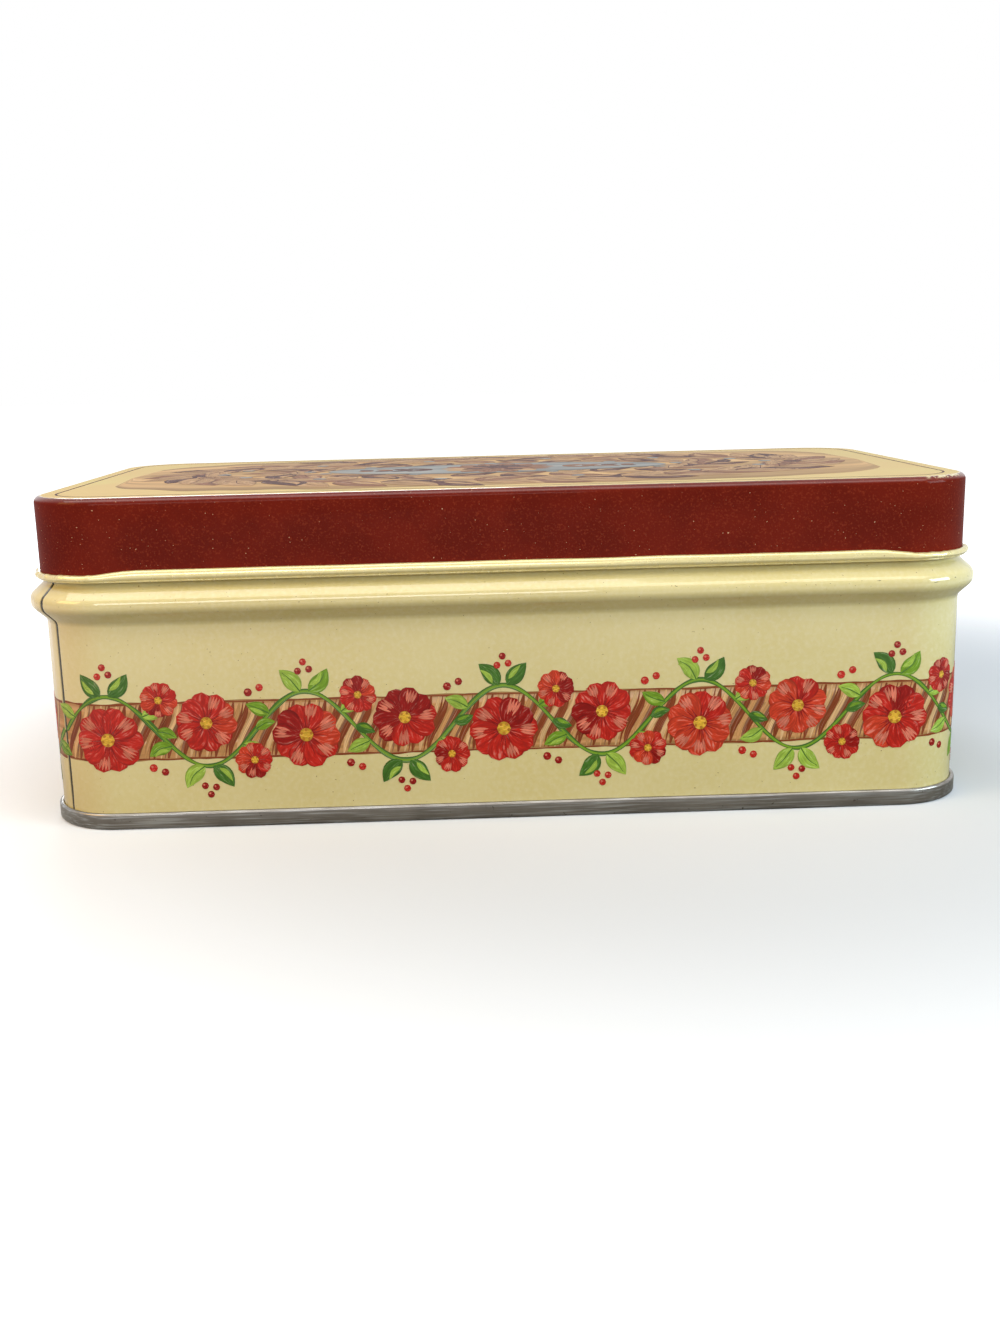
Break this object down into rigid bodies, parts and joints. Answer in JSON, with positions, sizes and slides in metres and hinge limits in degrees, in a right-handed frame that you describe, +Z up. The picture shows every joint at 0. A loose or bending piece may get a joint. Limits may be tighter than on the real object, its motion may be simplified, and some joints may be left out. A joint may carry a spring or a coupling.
{
  "type": "stationery tin",
  "caption": "Rectangular slip-lid tin with rounded corners, an outward-curled lid skirt, a finger bead round the wall and a double-seamed base.",
  "frame": {"origin": "centre of the footprint, at the level the tin stands on", "axes": "+X along the long side to the right, +Y from the front to the back, +Z up; the side with the lock seam at its left corner is the front"},
  "size_m": [0.1692, 0.0942, 0.0584],
  "materials": {
    "lid_lacquer": "glossy dark red enamel on tinplate with a printed cream top",
    "wall_lacquer": "glossy cream enamel on tinplate with a printed floral band",
    "bare_tinplate": "bright tinplate, lightly scratched",
    "printed_inks": "glossy printed inks in brown, red, green and yellow on the enamel"
  },
  "bodies": {
    "tin": {"body_wall": "wall_lacquer", "base": "bare_tinplate"},
    "lid": {"lid": "lid_lacquer"}
  },
  "joints": [
    {"name": "lid_lift", "type": "slide", "parent": "tin", "child": "lid", "axis": [0, 0, 1], "range_m": [0, 0.075]}
  ]
}
